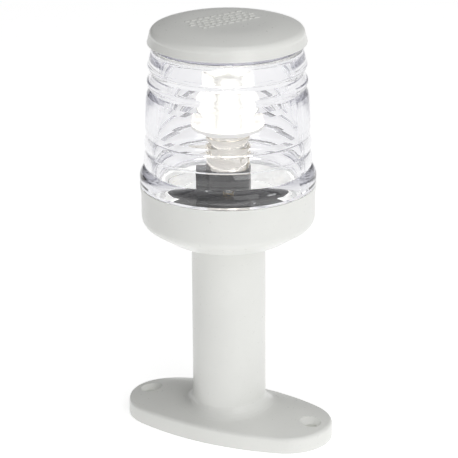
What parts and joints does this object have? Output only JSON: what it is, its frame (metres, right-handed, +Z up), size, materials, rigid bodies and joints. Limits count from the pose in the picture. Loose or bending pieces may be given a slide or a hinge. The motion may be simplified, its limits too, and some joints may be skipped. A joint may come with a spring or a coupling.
{
  "type": "navigation light",
  "caption": "All-round boat light: clear ribbed lens and cap on a bowl, on a round stem with an oval two-screw foot, with a sprung bayonet lamp inside.",
  "frame": {"origin": "on the deck, at the middle of the oval foot's underside", "axes": "+Z up along the stem, +X along the foot through its two screw holes, +Y across the foot"},
  "size_m": [0.083, 0.065, 0.1585],
  "materials": {
    "white_abs": "smooth satin-gloss moulded",
    "clear_plastic": "polished, clear",
    "black_plastic": "glossy moulded",
    "seal_rubber": "matt silicone",
    "stainless": "bright",
    "nickel": "nickel plate, warm",
    "brass": "bright",
    "solder": "satin",
    "phenolic": "matt laminate",
    "white_board": "satin solder mask",
    "led_body": "satin",
    "phosphor": "matt, lit"
  },
  "bodies": {
    "stand": {"foot_and_stem": "white_abs", "lamp_housing": "white_abs", "housing_screws": "stainless", "carrier_plate": "black_plastic", "carrier_screws": "stainless", "terminal_strips": "brass", "terminal_screws": "stainless", "holder_body": "black_plastic", "holder_shell": "nickel", "contact_disc": "phenolic", "contact_spring_left": "stainless", "contact_spring_right": "stainless"},
    "seal_ring": {"lens_seal": "seal_rubber"},
    "lens_unit": {"lens": "clear_plastic", "top_cap": "white_abs"},
    "lamp": {"lamp_base": "nickel", "lamp_pins": "nickel", "lamp_insulator": "black_plastic", "lamp_contacts": "solder", "lamp_collar": "nickel", "lamp_disc_board": "white_board", "lamp_tower_boards": "white_board", "lamp_leds": "led_body", "lamp_phosphors": "phosphor"},
    "left_contact": {"contact_plunger_left": "brass"},
    "right_contact": {"contact_plunger_right": "brass"}
  },
  "joints": [
    {"name": "lens_rise", "type": "slide", "parent": "stand", "child": "seal_ring", "axis": [0, 0, 1], "range_m": [0, 0.0015]},
    {"name": "lens_turn", "type": "hinge", "parent": "seal_ring", "child": "lens_unit", "pos_m": [0, 0, 0.0974], "axis": [0, 0, 1], "range_deg": [0, 60]},
    {"name": "lamp_push", "type": "slide", "parent": "stand", "child": "lamp", "axis": [0, 0, -1], "range_m": [0, 0.0024], "stiffness_N_per_m": 1500, "springref_m": -0.003},
    {"name": "left_contact_slide", "type": "slide", "parent": "stand", "child": "left_contact", "axis": [0, 0, -1], "range_m": [0, 0.0024], "deforming": ["contact_spring_left"]},
    {"name": "right_contact_slide", "type": "slide", "parent": "stand", "child": "right_contact", "axis": [0, 0, -1], "range_m": [0, 0.0024], "deforming": ["contact_spring_right"]}
  ],
  "couplings": [
    {"joint": "lens_rise", "follows": "lens_turn", "m_per_rad": 0.0014324},
    {"joint": "left_contact_slide", "follows": "lamp_push", "ratio": 1},
    {"joint": "right_contact_slide", "follows": "lamp_push", "ratio": 1}
  ]
}
